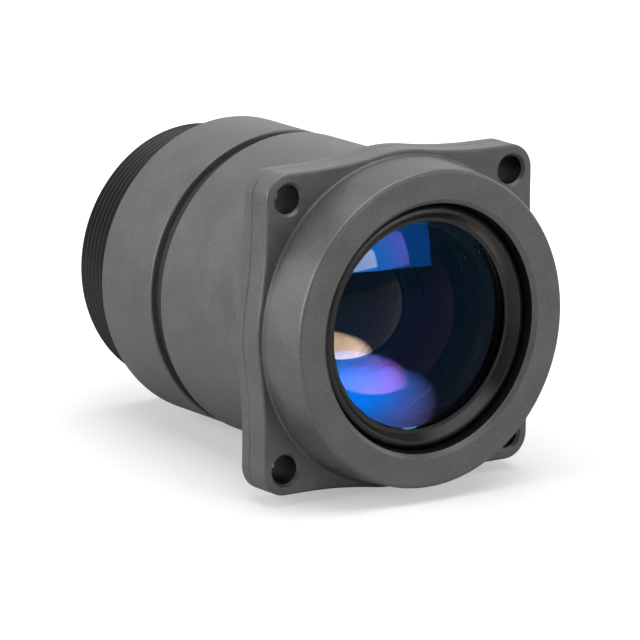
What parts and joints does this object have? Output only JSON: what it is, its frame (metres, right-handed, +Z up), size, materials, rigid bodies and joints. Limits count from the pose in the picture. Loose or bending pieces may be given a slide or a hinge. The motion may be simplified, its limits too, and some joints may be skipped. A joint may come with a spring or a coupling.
{
  "type": "machine vision lens",
  "caption": "Fixed focus lens for an industrial camera, with a square bolt-on flange, a tapered boss in front, a round barrel and a threaded camera mount behind.",
  "frame": {"origin": "on the optical axis, in the plane of the flange's front face, midway between the four mounting holes", "axes": "+Z up, +Y along the optical axis towards the camera, front glass towards -Y, +X to the right seen from the front"},
  "size_m": [0.0528, 0.0661, 0.0528],
  "materials": {
    "housing_grey": "dark grey satin coat with a fine grain",
    "mount_black": "satin black anodised",
    "inner_black": "satin black anodised, turned",
    "seal_rubber": "matt black rubber",
    "coated_glass": "polished optical glass with a blue and violet coating"
  },
  "bodies": {
    "root": {"front_housing": "housing_grey", "main_barrel": "housing_grey", "rear_ring": "housing_grey", "mount_tube": "mount_black", "groove_seal": "seal_rubber", "housing_seal": "seal_rubber", "cell_seal": "seal_rubber", "front_retaining_ring": "inner_black", "front_cell": "inner_black", "spacer_ring_front": "inner_black", "aperture_stop": "inner_black", "stop_ring": "inner_black", "rear_cell": "inner_black", "spacer_ring_rear": "inner_black", "rear_retaining_ring": "inner_black", "lens_1": "coated_glass", "lens_2": "coated_glass", "lens_3": "coated_glass", "lens_4": "coated_glass", "lens_5": "coated_glass", "lens_6": "coated_glass"}
  },
  "joints": []
}
